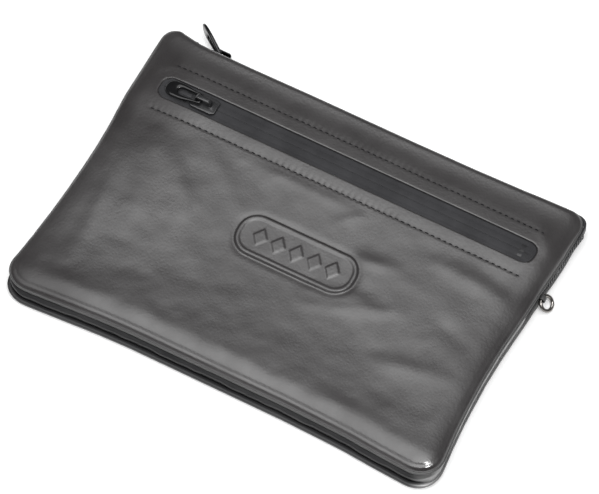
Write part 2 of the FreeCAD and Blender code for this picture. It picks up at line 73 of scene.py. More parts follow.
lower_tape, upper_tape = mm_box("front_zip_tape_lower"), mm_box("front_zip_tape_upper")
WINDOW_Y = (lower_tape[1][1] + upper_tape[0][1]) / 2
WINDOW_HALF_LENGTH, WINDOW_HALF_WIDTH, WINDOW_RADIUS = 93.0, 5.5, 4.5
stitch_low, stitch_high = mm_box("window_stitching")
STITCH_LENGTH, STITCH_PITCH, STITCHES = 2.1, 3.0, 62
STITCH_LEFT = stitch_low[0] + STITCH_LENGTH / 2
ROWS = (WINDOW_Y - 12.2, WINDOW_Y + 12.2)
WINDOW_X = (stitch_low[0] + stitch_high[0] - STITCH_LENGTH) / 2  # half a stitch left of the rows' middle
relief_low, relief_high = mm_box("front_relief")
RELIEF = (relief_low + relief_high) / 2
RELIEF_HALF = (relief_high - relief_low)[:2] / 2
RELIEF_RADIUS = 9.0
LOZENGES, LOZENGE_PITCH, LOZENGE_HALF = 5, 9.0, (3.5, 4.5)


def smooth(t):
    """A soft step from 0 to 1."""
    t = np.clip(t, 0.0, 1.0)
    return t * t * (3 - 2 * t)


# ---- the outline and its distances


def inside_sides(x, y):
    """How far a point lies inside the nearer side and end, and the radius of the corner between them."""
    low_half = y < (NEAR + FAR) / 2
    along = np.where(low_half, y - NEAR, FAR - y)
    return HALF - np.abs(x), along, np.where(low_half, CORNER_LOW, CORNER_HIGH)


def edge_distance(x, y):
    """How far a point lies inside the panels' rounded outline."""
    across, along, radius = inside_sides(x, y)
    in_corner = (across < radius) & (along < radius)
    rounded = radius - np.hypot(radius - across, radius - along)
    return np.where(in_corner, rounded, np.minimum(across, along))


def hole_distance(x, y, half_x, half_y, radius, cx, cy):
    """Distance outside a rounded rectangle, negative within it."""
    qx = np.abs(x - cx) - (half_x - radius)
    qy = np.abs(y - cy) - (half_y - radius)
    return np.hypot(np.maximum(qx, 0), np.maximum(qy, 0)) + np.minimum(np.maximum(qx, qy), 0) - radius


def window_distance(x, y):
    return hole_distance(x, y, WINDOW_HALF_LENGTH, WINDOW_HALF_WIDTH, WINDOW_RADIUS, WINDOW_X, WINDOW_Y)


def round_corner(p, q):
    """Takes a square onto a quarter disc, both of side 1."""
    return p * np.sqrt(1 - q * q / 2), q * np.sqrt(1 - p * p / 2)


def map_outline(x, y):
    """Bends a square grid's corners onto the rounded outline."""
    across, along, radius = inside_sides(x, y)
    p, q = 1 - across / radius, 1 - along / radius
    corner = (p > 0) & (q > 0)
    mp, mq = round_corner(np.clip(p, 0, 1), np.clip(q, 0, 1))
    nx = np.sign(x) * (HALF - radius * (1 - mp))
    ny = np.where(y < (NEAR + FAR) / 2, NEAR + radius * (1 - mq), FAR - radius * (1 - mq))
    return np.where(corner, nx, x), np.where(corner, ny, y)


def map_window(x, y):
    """Bends grid lines near the window's corners onto its arcs."""
    lx, ly = x - WINDOW_X, y - WINDOW_Y
    p = (np.abs(lx) - (WINDOW_HALF_LENGTH - WINDOW_RADIUS)) / WINDOW_RADIUS
    q = (np.abs(ly) - (WINDOW_HALF_WIDTH - WINDOW_RADIUS)) / WINDOW_RADIUS
    near = (p > 0) & (q > 0)
    cp, cq = np.clip(p, 0, 1), np.clip(q, 0, 1)
    mp, mq = round_corner(cp, cq)
    fall = np.clip(2 - np.maximum(p, q), 0, 1)
    dx = np.where(near, np.sign(lx) * (mp - cp) * WINDOW_RADIUS * fall, 0)
    dy = np.where(near, np.sign(ly) * (mq - cq) * WINDOW_RADIUS * fall, 0)
    return x + dx, y + dy


# How far each side strays from the straight outline. The left and right are (y, outward), the foot and
# the mouth are (x, towards +Y).
LEFT_BOW = np.array([
    (-74, 4.4), (-66, 3.4), (-58, 2.1), (-46, 0.8), (-31, -0.4), (-17, -1.2), (-4, -1.6), (8, -1.7),
    (21, -1.2), (31, -0.4), (38, 0.0),
])
RIGHT_BOW = np.array([
    (-74, 3.6), (-66, 3.1), (-58, 2.2), (-48, 1.0), (-39, 0.2), (-30, -0.4), (-15, -0.9), (0, -0.7),
    (11, -0.1), (21, 0.5), (30, 0.9), (38, 1.3), (46, 1.9), (54, 2.2), (62, 2.2), (69, 2.3), (75, 2.4),
])
FOOT_BOW = np.array([
    (-105, -1.6), (-88, -0.9), (-72, 0.3), (-58, 1.3), (-43, 1.8), (32, 1.8), (48, 1.4), (63, 0.9),
    (78, -0.4), (93, -1.4), (105, -2.0),
])
MOUTH_BOW = np.array([
    (-105, 3.4), (-99, 3.2), (-93, 2.0), (-87, 0.8), (-81, 0.4), (-60, 0.3), (-30, 0.6), (20, 0.6),
    (52, 0.9), (75, 1.5), (90, 2.3), (97, 2.8), (105, 2.9),
])
LEAN = 2.4  # how far the foot's upper edge stands further in than its lower edge


def mouth_share(y):
    """How much of the mouth's own bow a point takes part in."""
    return smooth((y - 58) / 14)


def splay(points, mouth=True):
    """Lets the pouch settle: the foot leans, the sides draw in and the low corners point out.

    The zipper's tapes and the linings keep their place at the mouth, so that the slider clears them.
    """
    points = np.array(points, float)
    x, y, z = points[..., 0].copy(), points[..., 1].copy(), points[..., 2]
    sides = smooth((np.abs(x) - 52) / 50)
    left, right = np.interp(y, *LEFT_BOW.T), np.interp(y, *RIGHT_BOW.T)
    points[..., 0] += sides * np.where(x < 0, -left, right)
    points[..., 1] += LEAN * smooth((z - 1.5) / (SEAM - 1.5)) * smooth((-30.0 - y) / (-30.0 - NEAR))
    points[..., 1] += np.interp(x, *FOOT_BOW.T) * smooth((-20.0 - y) / (-20.0 - NEAR))
    if mouth:
        points[..., 1] += np.interp(x, *MOUTH_BOW.T) * mouth_share(y)
    return points


# ---- the front panel's height


def curve(points, blur):
    """A smooth curve through rough points."""
    xs, ys = np.array(points, float).T
    fine = np.arange(xs[0], xs[-1] + 0.25, 0.25)
    reach = np.arange(-4 * blur, 4 * blur + 0.25, 0.25)
    weight = np.exp(-((reach / blur) ** 2) / 2)
    weight /= weight.sum()
    padded = np.pad(np.interp(fine, xs, ys), len(reach) // 2, mode="edge")
    values = np.convolve(padded, weight, mode="valid")
    return lambda t: np.interp(t, fine, values[: len(fine)])


# The panel's height along its middle, from foot to mouth: a crest, a slack middle and the window's band.
LENGTHWISE = curve(
    [(-90, 16.25), (-66, 16.25), (-60, 15.88), (-52, 15.38), (-42, 15.0), (-32, 14.63), (-25, 14.44),
     (-18, 14.45), (-10, 14.82), (0, 15.35), (10, 15.8), (20, 16.35), (28, 16.95), (34, 17.4),
     (40, 17.75), (52, 17.75), (56, 17.6), (60, 17.3), (63, 16.8), (66.5, 16.35), (69, 16.4),
     (71.5, 16.6), (74, 16.6), (90, 16.6)],
    1.4,
)

# Soft folds: start, end, half width, height and sideways bend.
FOLDS = [
    (-84, 30, -40, -22, 5.0, 0.45, 2.0),
    (-66, 32, -26, 2, 4.5, 0.40, 1.5),
    (-92, 8, -84, -56, 4.5, 0.60, 1.5),
    (-78, 12, -64, -30, 5.0, 0.35, -2.0),
    (-46, 31, 22, 31, 5.0, 0.55, 0.0),
    (8, 16, 22, 30, 2.6, 0.25, 1.0),
    (18, 6, 50, 12, 3.6, 0.60, 0.5),
    (10, -16, 50, -7, 4.0, 0.45, 0.5),
    (8, -24, 62, -4, 3.6, 0.50, -1.5),
    (60, -2, 100, -10, 4.0, -0.30, 1.0),
    (50, 22, 104, 19, 4.6, 0.70, 1.0),
    (50, -35, 98, -27, 5.0, 0.60, 1.5),
    (46, -50, 92, -44, 4.5, -0.08, 1.0),
    (-64, -20, -16, -30, 6.0, 0.25, 1.5),
    (-74, -40, -30, -50, 5.0, -0.06, 1.5),
    (-10, -38, 40, -44, 7.0, -0.18, 1.0),
]
MOUTH_FOLDS = [
    (-100, 52, -86, 60, 3.0, 0.35, 0.5),
    (86, 64, 102, 46, 3.0, 0.40, 0.5),
]

# How far the panel slopes down at its two sides: (y, fall).
LEFT_FALL = np.array([
    (-74, 2.6), (-62, 2.4), (-48, 2.0), (-30, 1.6), (-20, 1.5), (0, 1.6), (18, 2.0), (26, 2.3), (33, 2.5),
    (41, 2.7), (53, 2.9), (62, 3.2), (74, 3.4),
])
RIGHT_FALL = np.array([
    (-74, 0.5), (-30, 0.8), (-5, 1.5), (8, 2.0), (20, 2.0), (36, 1.6), (50, 1.7), (60, 2.2), (74, 3.0),
])
SIDE_ROLL, SLACK_ROLL, FOOT_ROLL, MOUTH_ROLL = 8.5, 2.0, 12.4, 3.0  # widths of the roll at the rim
LIP = 0.8  # width of the rounding round the window
SIDE_LEVEL = 16.6  # height that the slack middle keeps to at the sides


def ripple_waves():
    """Fixed random waves for the leather's slow unevenness."""
    draw = np.random.default_rng(7)
    waves = []
    for _ in range(46):
        length = draw.uniform(7.0, 26.0)
        turn = draw.uniform(0, math.pi)
        size = 0.00036 * length ** 1.25
        waves.append((2 * math.pi / length * math.cos(turn), 2 * math.pi / length * math.sin(turn),
                      draw.uniform(0, 2 * math.pi), size))
    return waves


RIPPLES = ripple_waves()


def ripple(x, y):
    bent = x + 3.0 * np.sin(y / 19.0), y + 3.0 * np.sin(x / 23.0)
    return sum(size * np.sin(kx * bent[0] + ky * bent[1] + phase) for kx, ky, phase, size in RIPPLES)


def fold(x, y, x0, y0, x1, y1, width, height, bend):
    length = math.hypot(x1 - x0, y1 - y0)
    ux, uy = (x1 - x0) / length, (y1 - y0) / length
    t = ((x - x0) * ux + (y - y0) * uy) / length
    s = -(x - x0) * uy + (y - y0) * ux - bend * 4 * t * (1 - t)
    fade = np.sin(np.pi * np.clip(t, 0, 1)) ** 1.2
    return height * np.exp(-((s / width) ** 2)) * fade


def relief_height(x, y):
    """A plain raised oval with a sunk field and five lozenges."""
    s = hole_distance(x, y, RELIEF_HALF[0], RELIEF_HALF[1], RELIEF_RADIUS, RELIEF[0], RELIEF[1])
    height = 0.9 * smooth((0.45 - s) / 0.9) - 0.45 * smooth((-1.5 - s) / 0.8)
    first = RELIEF[0] - LOZENGE_PITCH * (LOZENGES - 1) / 2
    for i in range(LOZENGES):
        dx = np.abs(x - (first + LOZENGE_PITCH * i)) / LOZENGE_HALF[0]
        dy = np.abs(y - RELIEF[1]) / LOZENGE_HALF[1]
        inside = (1 - dx - dy) * 2.77  # about how far inside the lozenge's sides
        height = height + 0.45 * smooth((inside + 0.35) / 0.8)
    pressed = -0.35 * np.exp(-((np.maximum(s - 0.6, 0) / 1.6) ** 2)) * smooth((s + 0.2) / 0.8)
    return height + pressed


def rim_roll(x, y, top):
    """Rounds the panel down to its seam: broad at the sides and foot, a thin bead along the mouth."""
    d = edge_distance(x, y)
    w_side = np.maximum(HALF - np.abs(x), 0.05) ** -2
    w_foot = np.maximum(y - NEAR, 0.05) ** -2
    w_mouth = np.maximum(FAR - y, 0.05) ** -2
    total = w_side + w_foot + w_mouth
    side_width = SIDE_ROLL + SLACK_ROLL * smooth((50 - y) / 60)
    width = (side_width * w_side + FOOT_ROLL * w_foot + MOUTH_ROLL * w_mouth) / total
    u = 1 - np.clip(d / width, 0, 1)
    crease = (0.1 + 0.2 * w_foot / total) * np.exp(-(((d - 2.3) / 0.55) ** 2))
    return SEAM + (top - SEAM) * np.sqrt(1 - u * u) - crease


def panel_height(x, y, detail=True):
    """Height of the front panel's outer face above the table."""
    d = edge_distance(x, y)
    # The slack middle reaches further down at the sides.
    shift = 15.0 * smooth((np.abs(x) - 18) / 55) * smooth((28 - y) / 28) * smooth((y + 66) / 22)
    middle = LENGTHWISE(y + shift)
    side_hold = 0.55 * smooth((np.abs(x) - 50) / 50) * smooth((34 - y) / 10)
    top = middle + (SIDE_LEVEL - middle) * side_hold
    # The sides slope down, the upper left most.
    reach = 18 + 4 * smooth((-48 - y) / 14) + 6 * np.exp(-(((y - 31) / 8) ** 2))
    top = top - np.interp(y, *LEFT_FALL.T) * np.exp(-(((x + 108) / reach) ** 2))
    top = top - np.interp(y, *RIGHT_FALL.T) * np.exp(-(((x - 108) / 13) ** 2))
    quiet = smooth((d - 3) / 10) * smooth((ROWS[0] - 0.5 - y) / 6)
    for row in FOLDS:
        top = top + fold(x, y, *row) * quiet
    for row in MOUTH_FOLDS:
        top = top + fold(x, y, *row)
    top = top + ripple(x, y) * smooth((d - 2) / 8) * (0.35 + 0.65 * smooth((ROWS[0] - 1.0 - y) / 6))
    # The band round the window is drawn down by its stitches and lifted by the zipper.
    for row, deep in zip(ROWS, (0.17, 0.10)):
        ends = smooth((94 + WINDOW_X - x) / 3) * smooth((x + 94 - WINDOW_X) / 3)
        groove = np.exp(-(((y - row) / np.where(y < row, 0.6, 2.2)) ** 2))
        pucker = deep + 0.09 * np.cos(2 * np.pi * ((x - STITCH_LEFT) / STITCH_PITCH + 0.5))
        top = top - pucker * groove * ends
    e = window_distance(x, y)
    top = top + 0.15 * np.exp(-((np.maximum(e, 0) / 3.2) ** 2))
    if detail:
        lip = np.clip(1 - e / LIP, 0, 1)
        top = top - 0.45 * (1 - np.sqrt(1 - lip**2))
        top = top + relief_height(x, y)
    return rim_roll(x, y, top)


# ---- meshes


def add_piece(name, nodes, mesh, body):
    """Puts a mesh on a body, in place of one or more CAD nodes."""
    piece = bpy.data.objects.new(name, mesh)
    bpy.context.scene.collection.objects.link(piece)
    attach(piece, body)
    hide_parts(*nodes)
    return piece


def new_piece(name, nodes, points, faces, material, slot, body="pouch"):
    """A piece from points in millimetres."""
    mesh = bpy.data.meshes.new(name)
    mesh.from_pydata((np.asarray(points, float) * MM).tolist(), [], [tuple(f) for f in faces])
    mesh.update()
    mesh.polygons.foreach_set("use_smooth", [True] * len(mesh.polygons))
    mesh.materials.append(material)
    return add_piece(name, nodes, mesh, body)


def outward(piece):
    """Turns every face of a closed mesh outwards."""
    work = bmesh.new()
    work.from_mesh(piece.data)
    bmesh.ops.recalc_face_normals(work, faces=work.faces)
    work.to_mesh(piece.data)
    work.free()
    return piece


def steps(*stops):
    """Grid lines: (place, step up to the next place), and a last place."""
    lines = []
    for (start, step), following in zip(stops[:-1], stops[1:]):
        end = following[0]
        count = max(1, round((end - start) / step))
        lines += list(start + (end - start) * np.arange(count) / count)
    return np.array(lines + [stops[-1][0]])


def roll_lines(width, count):
    """Grid lines that crowd towards a rounded edge."""
    return width * (1 - np.cos(np.linspace(0, math.pi / 2, count + 1)))


def grid_faces(rows, columns, keep=None):
    faces = []
    for j in range(rows - 1):
        for i in range(columns - 1):
            if keep is None or keep[j, i]:
                a = j * columns + i
                faces.append((a, a + 1, a + columns + 1, a + columns))
    return faces


def tube_faces(rings, around, start=0):
    """Faces of a tube with closed ends, made of rings of points numbered from a start."""
    faces = []
    for j in range(rings - 1):
        a = start + j * around
        for i in range(around):
            k = (i + 1) % around
            faces.append((a + i, a + k, a + around + k, a + around + i))
    faces.append(tuple(range(start, start + around)))
    faces.append(tuple(reversed(range(start + (rings - 1) * around, start + rings * around))))
    return faces


def hoop_faces(rings, around):
    """Faces of a hoop: rings of points whose last ring joins the first."""
    faces = []
    for j in range(rings):
        for i in range(around):
            k, n = (i + 1) % around, (j + 1) % rings
            faces.append((j * around + i, n * around + i, n * around + k, j * around + k))
    return faces


def shell(outer, inner, faces):
    """A closed sheet between two grids of points with the same faces, rims included."""
    outer, inner = outer.reshape(-1, 3), inner.reshape(-1, 3)
    count = len(outer)
    used = {}
    for face in faces:
        for a, b in zip(face, face[1:] + face[:1]):
            key = (min(a, b), max(a, b))
            used[key] = None if key in used else (a, b)
    rims = [(b, a, a + count, b + count) for pair in used.values() if pair for a, b in [pair]]
    back = [tuple(v + count for v in reversed(face)) for face in faces]
    points = np.vstack([outer, inner])
    all_faces = list(faces) + back + rims
    live = np.unique(np.array([v for face in all_faces for v in face]))
    place = -np.ones(len(points), int)
    place[live] = np.arange(len(live))
    return points[live], [tuple(int(place[v]) for v in face) for face in all_faces]


def grid_normals(grid):
    """Unit normals of a grid of points, from its lines."""
    along = np.gradient(grid, axis=1)
    across = np.gradient(grid, axis=0)
    normal = np.cross(along, across)
    return normal / np.maximum(np.linalg.norm(normal, axis=2, keepdims=True), 1e-9)


def run_along(path):
    """How far along a path each of its points lies."""
    return np.concatenate([[0], np.cumsum(np.linalg.norm(np.diff(path, axis=0), axis=1))])


# ---- leather


def make_front_panel(material):
    wx0, wx1 = WINDOW_X - WINDOW_HALF_LENGTH, WINDOW_X + WINDOW_HALF_LENGTH
    wy0, wy1 = WINDOW_Y - WINDOW_HALF_WIDTH, WINDOW_Y + WINDOW_HALF_WIDTH
    rx0, rx1 = RELIEF[0] - RELIEF_HALF[0], RELIEF[0] + RELIEF_HALF[0]
    ry0, ry1 = RELIEF[1] - RELIEF_HALF[1], RELIEF[1] + RELIEF_HALF[1]
    left, right, foot = 11.0, 8.6, 6.6  # widths of the fine grid along the rim
    xs = np.concatenate([
        -HALF + roll_lines(left, 16)[:-1],
        steps(
            (-HALF + left, 0.5), (wx0, 0.6), (wx0 + WINDOW_RADIUS, 1.0), (rx0 - 2, 0.45), (rx1 + 2, 1.0),
            (wx1 - WINDOW_RADIUS, 0.6), (wx1, 0.5), (HALF - right, 0.5),
        )[:-1],
        HALF - roll_lines(right, 14)[::-1],
    ])
    ys = np.concatenate([
        NEAR + roll_lines(foot, 14)[:-1],
        steps(
            (NEAR + foot, 0.9), (ry0 - 2, 0.45), (ry1 + 2, 1.0), (ROWS[0] - 2, 0.4),
            (ROWS[0] + 2, 0.7), (wy0 - 1.0, 0.16), (wy0, 0.55), (wy1, 0.16), (wy1 + 1.0, 0.7),
            (ROWS[1] - 2, 0.4), (ROWS[1] + 2, 0.6), (FAR - MOUTH_ROLL, 0.6),
        )[:-1],
        FAR - roll_lines(MOUTH_ROLL, 9)[::-1],
    ])
    mid_x, mid_y = (xs[:-1] + xs[1:]) / 2, (ys[:-1] + ys[1:]) / 2
    hole = ((mid_y > wy0) & (mid_y < wy1))[:, None] & ((mid_x > wx0) & (mid_x < wx1))[None, :]
    x, y = map_window(*map_outline(*np.meshgrid(xs, ys)))
    grid = np.dstack([x, y, panel_height(x, y)])
    outer = splay(grid)
    # Where the rim stands upright, the leather's inner face lies straight inwards.
    inner = outer - LEATHER * grid_normals(grid)
    inner[..., 2] = np.maximum(inner[..., 2], SEAM)
    points, faces = shell(outer, inner, grid_faces(len(ys), len(xs), ~hole))
    new_piece("front_panel_skin", ["front_panel", "front_relief"], points, faces, material, "leather")


def make_back_panel(material):
    """The back sheet, flat where it lies, with a rounded edge and a turned hem."""
    edge, hem_end = 2.2, 10.0

    def inward(half):
        return np.concatenate([roll_lines(edge, 7), steps((edge, 0.9), (hem_end, 3.0), (half, 3.0))[1:]])

    from_side, from_foot = inward(HALF), inward((FAR - NEAR) / 2)
    xs = np.concatenate([-HALF + from_side, (HALF - from_side)[::-1][1:]])
    ys = np.concatenate([NEAR + from_foot, (FAR - from_foot)[::-1][1:]])
    x, y = map_outline(*np.meshgrid(xs, ys))
    d = edge_distance(x, y)
    u = 1 - np.clip(d / edge, 0, 1)
    swell = 0.22 * (1 + np.sin(x / 17 + 0.6 * np.sin(y / 21)) * np.sin(y / 15 + 0.5 * np.sin(x / 25)))
    swell = swell * smooth((d - 8) / 14)
    low = 1.4 * (1 - np.sqrt(1 - u * u)) + swell
    high = HEM - (HEM - LEATHER) * smooth((d - 7) / 1.6) + swell
    outer = splay(np.dstack([x, y, low]))
    inner = splay(np.dstack([x, y, np.maximum(high, low + 0.3)]))
    faces = [tuple(reversed(f)) for f in grid_faces(len(ys), len(xs))]
    points, faces = shell(outer, inner, faces)
    new_piece("back_panel_skin", ["back_panel"], points, faces, material, "leather")


def wall_path():
    """Points and outward directions down the right wall, along the foot and up the left wall."""
    points, normals = [], []

    def line(start, end, normal, step):
        start, end = np.array(start, float), np.array(end, float)
        count = max(2, int(np.linalg.norm(end - start) / step))
        for t in np.arange(count) / count:
            points.append(start + (end - start) * t)
            normals.append(normal)

    def arc(cx, cy, radius, start, end, count):
        for a in np.radians(np.linspace(start, end, count, endpoint=False)):
            points.append(np.array([cx + radius * math.cos(a), cy + radius * math.sin(a)]))
            normals.append((math.cos(a), math.sin(a)))

    high, low = CORNER_HIGH, CORNER_LOW
    line((MOUTH_HALF - 0.7, FAR), (HALF - high, FAR), (0, 1), 1.0)
    arc(HALF - high, FAR - high, high, 90, 0, 12)
    line((HALF, FAR - high), (HALF, NEAR + low), (1, 0), 2.0)
    arc(HALF - low, NEAR + low, low, 0, -90, 20)
    right = len(points)
    line((HALF - low, NEAR), (-HALF + low, NEAR), (0, -1), 2.0)
    points.append(np.array([-HALF + low, NEAR]))
    normals.append((0, -1))
    points, normals = np.array(points), np.array(normals, float)
    mirror = np.array([-1, 1])
    left, left_normals = points[:right][::-1] * mirror, normals[:right][::-1] * mirror
    return np.vstack([points, left]), np.vstack([normals, left_normals])


def loft(path, normals, sections):
    """A closed tube: each section is (inset, height) pairs, one section for each point of the path."""
    sections = np.asarray(sections, float)
    xy = path[:, None, :] - sections[..., :1] * normals[:, None, :]
    return np.dstack([xy, sections[..., 1:]]).reshape(-1, 3), tube_faces(*sections.shape[:2])


def wobble(path, seed, size):
    """Slow unevenness along a path, the same on each run."""
    run = run_along(path)
    draw = np.random.default_rng(seed)
    total = np.zeros(len(path))
    for wave in (9.0, 17.0, 31.0, 53.0):
        total += np.sin(2 * math.pi * run / wave + draw.uniform(0, 2 * math.pi)) * draw.uniform(0.4, 1.0)
    return size * total / 2


def make_ridge(name, node, floor, material, seed):
    """A seam's turned edge: a soft bead that stands proud of the wall."""
    path, normals = wall_path()
    # (part of how far it stands proud, part of its height) from the wall round to the wall.
    rounding = [(0.65, 0.14), (0.95, 0.32), (1.0, 0.5), (0.95, 0.68), (0.65, 0.86)]
    top = floor + RIDGE
    outline = [(1.9, floor + 0.02), (0.6, floor), (0.0, floor + 0.02)]
    outline += [(-PROUD * out, floor + RIDGE * up) for out, up in rounding]
    outline += [(0.0, top - 0.02), (0.6, top), (1.9, top - 0.02)]
    sections = np.repeat(np.array(outline)[None], len(path), axis=0)
    bead = np.abs(wobble(path, seed, 0.10))
    sections[..., 0] += np.where(sections[..., 0] < 0, bead[:, None], 0)
    points, faces = loft(path, normals, sections)
    outward(new_piece(name, [node], splay(points), faces, material, "seam_leather"))


def make_gusset(material):
    """The wall between the seams, folded once along its middle like a bellows."""
    path, normals = wall_path()
    low, high = HEM + RIDGE, SEAM - RIDGE
    folded_share = np.where(path[:, 0] > 0, smooth((26 - path[:, 1]) / 8), smooth((72 - path[:, 1]) / 8))
    right_share = smooth((path[:, 0] - HALF + 9) / 8)
    shift = wobble(path, 5, 0.35)
    bulge = wobble(path, 6, 0.18)
    # (part of the height, inset where it is flat, along the foot, down the right wall)
    profile = [
        (0.0, 0.9, 1.7, 0.2), (0.10, 1.0, 1.5, 0.3), (0.22, 1.1, 0.8, 0.35), (0.34, 1.2, 0.35, 0.25),
        (0.43, 1.2, 0.1, 0.1), (0.50, 1.2, 0.0, 0.0), (0.57, 1.2, 0.4, 0.15), (0.68, 1.2, 1.2, 0.6),
        (0.80, 1.2, 1.9, 1.0), (0.92, 1.2, 2.1, 1.0), (1.0, 1.2, 1.7, 0.7),
    ]
    sections = []
    for share, right, up, out in zip(folded_share, right_share, shift, bulge):
        outer = []
        for t, flat, foot, wall in profile:
            folded = foot + (wall - foot) * right
            swing = share * math.sin(math.pi * t)
            inset = flat + (folded - flat) * share + swing * out
            outer.append((max(inset, 0.0), low + (high - low) * t + swing * up))
        inner = [(inset + 1.0, z) for inset, z in reversed(outer)]
        sections.append(outer + inner)
    points, faces = loft(path, normals, sections)
    outward(new_piece("gusset_skin", ["gusset_band"], splay(points), faces, material, "leather"))


# ---- linings and tapes


def lining_half_width(inset):
    """Half a lining's width at each place along Y, when it stays this far inside the panels' outline."""
    def width(y):
        radius = max(CORNER_LOW - inset, 0.5)
        short = np.maximum(radius - (y - NEAR - inset), 0)
        return HALF - inset - (radius - np.sqrt(np.maximum(radius**2 - short**2, 0)))
    return width


def make_lining(name, node, path, inset, thickness, cloth, waves=0.0):
    """A sheet of cloth swept across X along a path of (y, z)."""
    path = np.array(path, float)
    half_width = lining_half_width(inset)(path[:, 0])
    x = half_width[:, None] * np.linspace(-1, 1, 61)[None, :]
    y = np.repeat(path[:, :1], x.shape[1], axis=1)
    z = path[:, 1:] + waves * np.sin(x / 14 + 0.4 * np.sin(y / 11)) * np.sin(y / 13)
    z = np.minimum(z, panel_height(x, y, detail=False) - 2.2 * LEATHER)
    grid = np.dstack([x, y, z])
    points, faces = shell(grid, grid - thickness * grid_normals(grid), grid_faces(*x.shape))
    piece = new_piece(name, [node], splay(points, mouth=False), faces, cloth, "lining_cloth")


def level_run(start, end, level):
    """Evenly spaced (y, z) points along a level stretch, so that a swept sheet has rows to bend at."""
    count = max(1, int((end - start) / 3.0))
    return [(y, level) for y in np.linspace(start, end, count + 1)]


def make_pocket_front_lining(cloth):
    """The short lining that hangs under the front panel, below the window."""
    low, high = mm_box("pocket_lining_front")
    ys = np.linspace(low[1], high[1], 34)
    half_width = lining_half_width(12.0)(ys)
    x = half_width[:, None] * np.linspace(-1, 1, 61)[None, :]
    y = np.repeat(ys[:, None], x.shape[1], axis=1)
    grid = np.dstack([x, y, panel_height(x, y, detail=False) - LEATHER - 0.7])
    points, faces = shell(grid, grid - 0.35 * grid_normals(grid), grid_faces(*x.shape))
    piece = new_piece(
        "pocket_front_lining_cloth", ["pocket_lining_front"], splay(points), faces, cloth, "lining_cloth"
    )


def make_linings(cloth):
    low, high = mm_box("main_lining_back")
    path = level_run(low[1], high[1], high[2] + 0.5)
    make_lining(
        "main_back_lining_cloth", "main_lining_back", path, 8.2, 0.4, cloth, 0.12
    )
    # Each partition is sewn in along the walls and turns up at its top: (y, z) from its top and its level.
    wall = 2.4
    for kind, side, start, level, riser, ends in (
        ("main", "front", -1.6, 0.2, [(-0.5, 0.6), (0.0, 1.6)], [(0.1, -0.3)]),
        ("pocket", "back", -1.8, 0.5, [(-0.6, 0.9), (0.0, 2.2)], [(0.0, -3.0), (0.0, -0.9)]),
    ):
        node = f"{kind}_lining_{side}"
        low, high = mm_box(node)
        top = high[1] - 0.2
        path = level_run(NEAR + wall, top + start, low[2] + level)
        path += [(top + y, low[2] + z) for y, z in riser] + [(top + y, high[2] + z) for y, z in ends]
        name = f"{kind}_{side}_lining_cloth"
        make_lining(name, node, path, wall, 0.35, cloth)
    make_pocket_front_lining(cloth)


def make_pocket_tapes(material):
    """Woven tapes that meet in the window, padded out by the coils behind them."""
    low, high = mm_box("front_zip_tape_upper")
    top, thickness = high[2], high[2] - low[2]
    xs = np.linspace(low[0], high[0], 96)
    # (distance from the middle, rise)
    rises = np.array([
        (0, -0.1), (0.12, 0.1), (0.3, 0.17), (0.8, 0.22), (1.6, 0.22), (2.4, 0.17), (2.9, 0.1), (3.2, 0.0),
        (3.5, -0.05), (4.4, 0.0),
    ])
    for name, node, sign, reach in (
        ("pocket_tape_upper", "front_zip_tape_upper", 1, upper_tape[1][1] - WINDOW_Y),
        ("pocket_tape_lower", "front_zip_tape_lower", -1, WINDOW_Y - lower_tape[0][1]),
    ):
        run = np.array([0.03, *rises[1:, 0], 5.2, 6.0, 7.5, 9.5, reach])
        rise = np.interp(run, *rises.T)
        if sign < 0:
            rise = rise - 0.9 * smooth((run - 3.1) / 1.2)
        x, across = np.meshgrid(xs, run)
        y = WINDOW_Y + sign * across
        under_leather = np.minimum(panel_height(x, y, detail=False) - LEATHER - 0.08, top)
        shown = window_distance(x, y) < 0.4
        outer = np.dstack([x, y, np.where(shown, top + rise[:, None], under_leather)])
        inner = outer.copy()
        inner[..., 2] -= thickness + np.where(shown, rise[:, None] * 0.6, 0.0)
        points, faces = shell(outer, inner, grid_faces(*x.shape))
        outward(new_piece(name, [node], points, faces, material, "zip_tape"))


def make_mouth_tapes(material):
    """Tapes that stand in the mouth and meet at the main zipper's middle."""
    for side, toward in (("front", 1), ("back", -1)):
        node = f"top_zip_tape_{side}"
        low, high = mm_box(node)
        far = high[2] if toward > 0 else low[2]
        face, behind = high[1], low[1]
        middle = MOUTH_MIDDLE + toward * 0.05
        section = [
            (face - 0.05, middle), (face, middle + toward * 0.2), (face, far - toward * 0.1),
            (face - 0.15, far), (behind + 0.1, far), (behind, far - toward * 0.2), (behind, middle),
        ]
        points = [(x, y, z) for x in np.linspace(low[0], high[0], 60) for y, z in section]
        faces = tube_faces(60, len(section))
        outward(new_piece(
            f"mouth_tape_{side}", [node], splay(points, mouth=False), faces, material, "zip_tape"
        ))


# ---- stitches and coils


def make_stitches(name, node, places, material):
    """Short threads that dip into the leather at both ends. A place is its middle, direction and up."""
    points, faces = [], []
    rings, around = 7, 8
    for centre, along, up in places:
        centre, along, up = (np.array(v, float) for v in (centre, along, up))
        side = np.cross(up, along)
        faces += tube_faces(rings, around, len(points))
        for t in np.linspace(-1, 1, rings):
            width = 0.29 * math.sqrt(max(1 - abs(t) ** 3, 0.12))
            middle = centre + along * t * STITCH_LENGTH / 2 + up * (0.10 - 0.36 * t * t)
            for a in 2 * math.pi * np.arange(around) / around:
                points.append(middle + side * width * math.cos(a) + up * width * 0.8 * math.sin(a))
    outward(new_piece(name, [node], points, faces, material, "thread"))


def height_at(x, y):
    return float(panel_height(np.array(x), np.array(y)))


